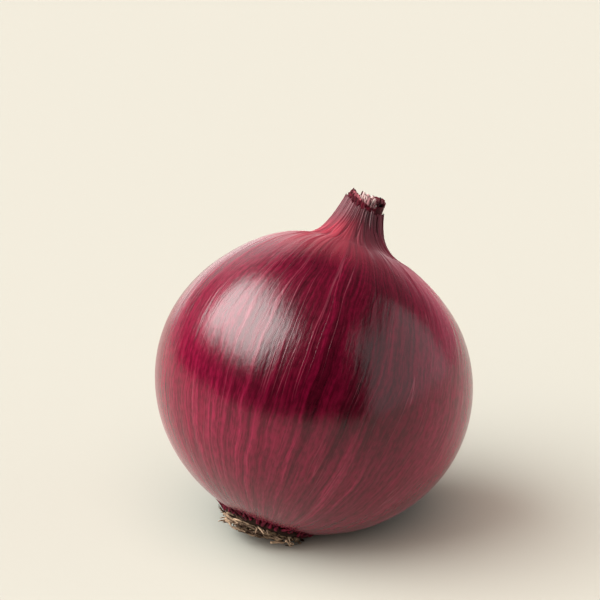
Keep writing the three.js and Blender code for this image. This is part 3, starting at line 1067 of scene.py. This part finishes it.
# %% [markdown]
# ## The root end
# Under the bulb sits the root plate, a corky disc that every layer grows from. A potter would turn
# it, and so does this cell: an outline is turned about the bulb's axis and roughened with noise.
# Plain mesh code is enough, because there is only one such disc. This noise starts from the
# clock, so the plate's small lumps come out differently at each run. Whatever hangs too low is
# pressed flat, gently at first and then harder, as it was by the surface below.

# %% Root plate
PLATE_STEPS, PLATE_ROUGHNESS, PLATE_NOISE_SCALE = 96, 0.35 * MM, 300.0
PRESS_FROM, PRESS_TO = 1.3 * MM, 0.12 * MM


def turned_mesh(name, outline, steps, material, roughness, noise_scale):
    """Turns a closed outline of (radius, height) points, roughened by noise."""
    rows = [row for row in outline if row[0] > 0]
    mesh = bpy.data.meshes.new(name)
    build = bmesh.new()
    rings = []
    for radius, height in rows:
        ring = []
        for step in range(steps):
            angle = math.tau * step / steps
            place = Vector((radius * math.cos(angle), radius * math.sin(angle), height))
            place += noise.noise_vector(place * noise_scale) * roughness
            ring.append(build.verts.new(place))
        rings.append(ring)
    first = build.verts.new((0, 0, outline[0][1]))
    last = build.verts.new((0, 0, outline[-1][1]))
    for step in range(steps):
        after = (step + 1) % steps
        build.faces.new((first, rings[0][after], rings[0][step]))
        build.faces.new((last, rings[-1][step], rings[-1][after]))
        for low, high in zip(rings, rings[1:]):
            build.faces.new((low[step], low[after], high[after], high[step]))
    for face in build.faces:
        face.smooth = True
    build.to_mesh(mesh)
    build.free()
    mesh.materials.append(material)
    mesh.transform(STAND)
    piece = bpy.data.objects.new(name, mesh)
    scene.collection.objects.link(piece)
    return piece


def press_flat(mesh):
    """Squeezes everything below a starting height so that nothing reaches the surface."""
    room = PRESS_FROM - PRESS_TO
    for vertex in mesh.vertices:
        below = PRESS_FROM - vertex.co.z
        if below > 0:
            vertex.co.z = PRESS_TO + room * math.exp(-below / room)


plate_rows = [(0.0, -38.5)] + [(r, -38.5 + 0.0085 * r * r) for r in (1.5, 3, 4.5, 6, 7.5, 9, 10)]
plate_rows += [(10.8, -37.2), (11.1, -36.6), (10.9, -36.0), (9.0, -35.9), (0.0, -35.9)]
plate_outline = [(radius * MM, height * MM) for radius, height in plate_rows]
root_plate = turned_mesh(
    "root_plate", plate_outline, PLATE_STEPS, dry_stuff["root_plate_cork"],
    PLATE_ROUGHNESS, PLATE_NOISE_SCALE,
)
press_flat(root_plate.data)
print("root_plate", len(root_plate.data.vertices), "points")

# %% [markdown]
# The roots have dried to a flat, tangled mat, with shorter ones between and three spurs at its
# edge, and the outer skin has torn round it into a dark frill of teeth. All four are tufts of the
# same tree as in the neck, so only their numbers differ. The mat's strands are anchored in the
# middle, because dry roots lie across the plate.

# %% Roots and frill
mat_shift = (0.3 * MM, 0.9 * MM)
dried_roots = grow_tuft(
    "dried_roots", dry_stuff["dry_root"], mat_shift, Count=240, Inner_Radius=3.5 * MM,
    Outer_Radius=10.0 * MM, Low=-39.8 * MM, High=-36.9 * MM, Dome=-0.9 * MM,
    Shortest=3.0 * MM, Longest=7.0 * MM, Steepness=-2.0, Steepness_Spread=12.0,
    Heading=90.0, Heading_Spread=34.0, Thinnest=0.14 * MM, Thickest=0.42 * MM,
    Wander=1.15 * MM, Wander_Scale=250.0, Tip=0.25, Anchor=0.5, Seed=21,
)
short_roots = grow_tuft(
    "short_roots", dry_stuff["dry_root"], Count=120, Outer_Radius=9.8 * MM, Low=-38.2 * MM,
    High=-37.4 * MM, Shortest=1.0 * MM, Longest=2.8 * MM, Steepness=-22.0,
    Steepness_Spread=24.0, Heading=70.0, Heading_Spread=80.0, Thinnest=0.15 * MM,
    Thickest=0.36 * MM, Wander=0.8 * MM, Tip=0.35, Seed=33,
)
spur_roots = grow_tuft(
    "spur_roots", dry_stuff["dry_root"], Count=3, Arc_Start=120.0, Arc_End=140.0,
    Inner_Radius=8.9 * MM, Outer_Radius=9.5 * MM, Low=-39.3 * MM, High=-38.6 * MM,
    Shortest=4.0 * MM, Longest=5.0 * MM, Steepness=36.0, Steepness_Spread=4.0,
    Heading_Spread=10.0, Thinnest=0.17 * MM, Thickest=0.28 * MM, Wander=0.5 * MM, Tip=0.2,
    Seed=51,
)
skin_frill = grow_tuft(
    "skin_frill", dry_stuff["torn_frill"], Count=170, Inner_Radius=9.9 * MM, Outer_Radius=11.3 * MM,
    Low=-37.0 * MM, High=-36.2 * MM, Shortest=0.9 * MM, Longest=4.0 * MM, Steepness=46.0,
    Steepness_Spread=28.0, Heading=0.0, Heading_Spread=40.0, Thinnest=0.14 * MM,
    Thickest=0.62 * MM, Wander=0.5 * MM, Wander_Scale=300.0, Tip=0.06, Seed=41,
)
for tuft in (dried_roots, short_roots, spur_roots, skin_frill):
    press_flat(tuft.data)
    print(tuft.name, "lowest point", round(min(v.co.z for v in tuft.data.vertices) / MM, 2), "mm")

# %% [markdown]
# ## Fastening
# An onion has no joints, so every piece rides on the same body. Three pieces take the place of a
# CAD node each, and the others only dress them. The slot says which kind of stuff a piece is; it is
# only listed, and nothing here reads it.

# %% Fasten the pieces to the frame
PIECES = [
    (bulb_skin, "skin", ["bulb"]),
    (pith, "dry_leaf", ["leaf_stump"]),
    (curled_shreds, "skin", []),
    (root_plate, "dry_root", []),
    (dried_roots, "dry_root", ["root_tuft"]),
    (short_roots, "dry_root", []),
    (spur_roots, "dry_root", []),
    (skin_frill, "skin", []),
]
PIECES += [(layer, "skin", []) for layer in torn_layers]
for piece, slot, nodes in PIECES:
    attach(piece, "root")
    if nodes:
        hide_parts(*nodes)
print(len(PIECES), "pieces fastened")
